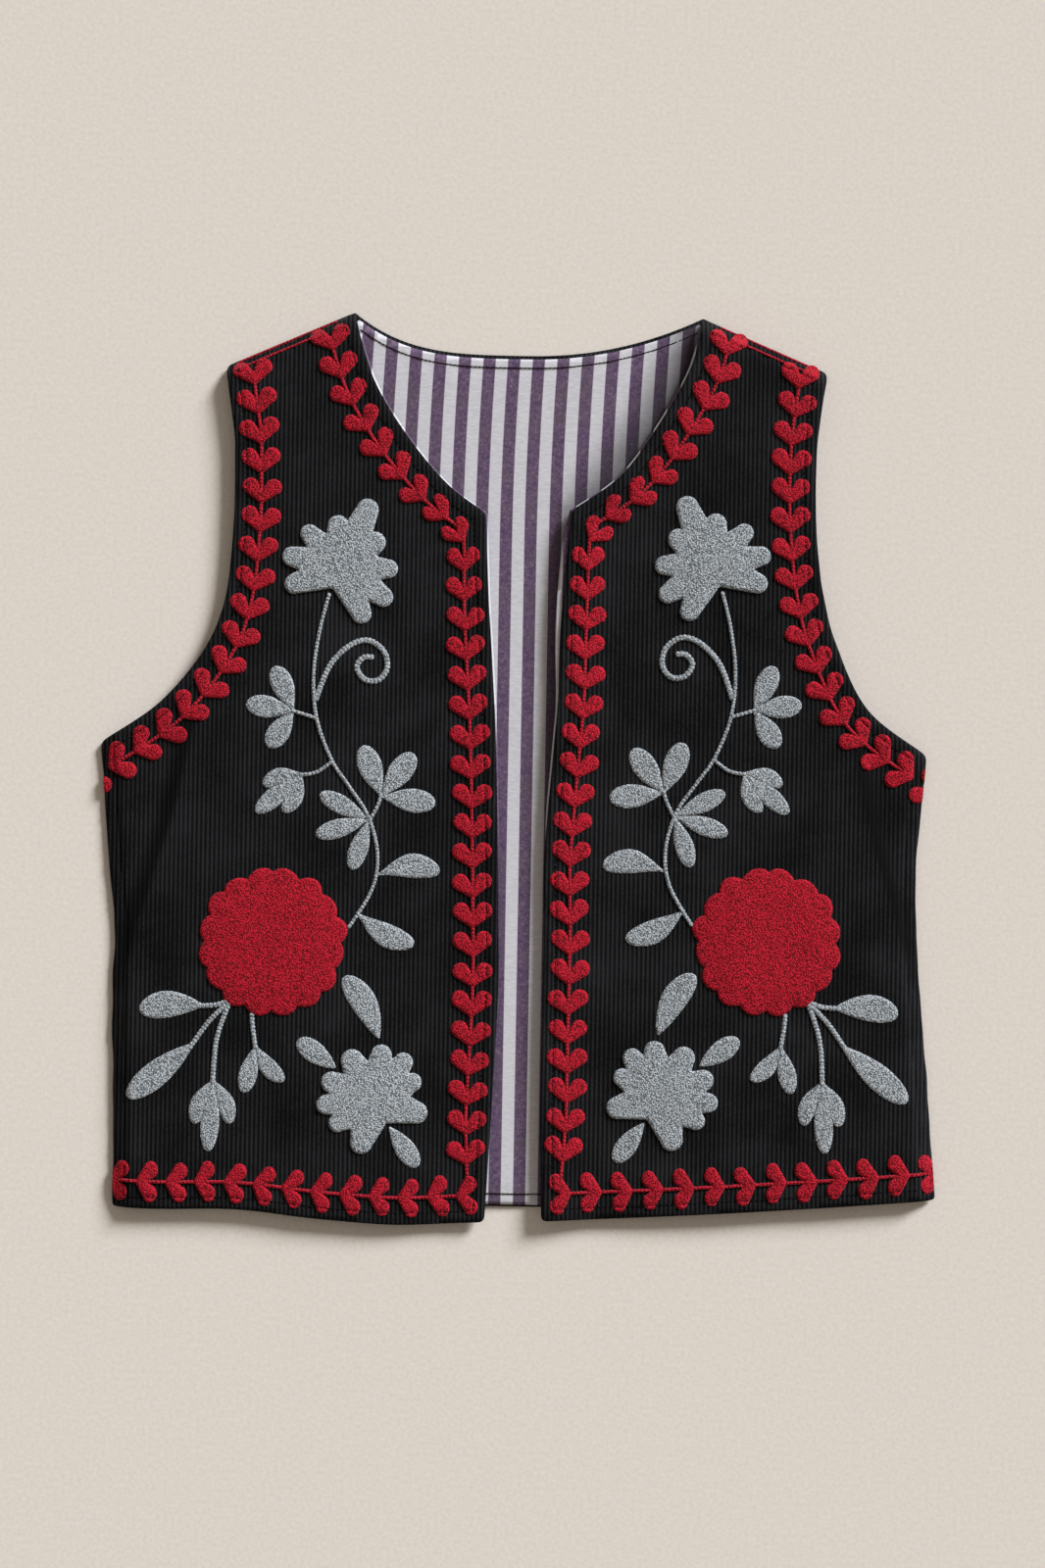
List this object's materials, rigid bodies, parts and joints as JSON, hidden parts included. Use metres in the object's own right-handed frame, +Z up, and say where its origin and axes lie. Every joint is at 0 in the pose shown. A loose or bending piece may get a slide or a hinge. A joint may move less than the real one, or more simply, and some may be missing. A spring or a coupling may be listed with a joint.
{
  "type": "embroidered waistcoat laid flat",
  "caption": "sleeveless open waistcoat laid flat, corduroy back and fronts over striped linings, raised heart-leaf borders, rosettes, flowers and leaf sprays",
  "frame": {"origin": "on the surface that it lies on, at the centre of its box", "axes": "+X across the garment, to the right as seen from above; +Y from hem to neck; +Z up from the surface"},
  "size_m": [0.5105, 0.5496, 0.0113],
  "materials": {
    "corduroy": "black cotton corduroy, 2.7 mm wales, soft cut pile",
    "striped_lining": "yarn-dyed cotton chambray, white and purple-grey stripes 7 mm wide",
    "red_embroidery": "crimson chenille and moss stitch yarn",
    "grey_embroidery": "silver grey chenille and moss stitch yarn"
  },
  "bodies": {
    "root": {"back_shell": "corduroy", "back_lining": "striped_lining", "front_left": "corduroy", "front_right": "corduroy", "front_lining_left": "striped_lining", "front_lining_right": "striped_lining", "front_vine_left": "red_embroidery", "front_vine_right": "red_embroidery", "armhole_vine_left": "red_embroidery", "armhole_vine_right": "red_embroidery", "rosette_left": "red_embroidery", "rosette_right": "red_embroidery", "fan_flower_left": "grey_embroidery", "fan_flower_right": "grey_embroidery", "round_flower_left": "grey_embroidery", "round_flower_right": "grey_embroidery", "stem_spray_left": "grey_embroidery", "stem_spray_right": "grey_embroidery", "root_spray_left": "grey_embroidery", "root_spray_right": "grey_embroidery", "small_sprig_left": "grey_embroidery", "small_sprig_right": "grey_embroidery", "drop_leaf_left": "grey_embroidery", "drop_leaf_right": "grey_embroidery", "upper_leaf_left": "grey_embroidery", "upper_leaf_right": "grey_embroidery", "lower_leaf_left": "grey_embroidery", "lower_leaf_right": "grey_embroidery"}
  },
  "joints": []
}
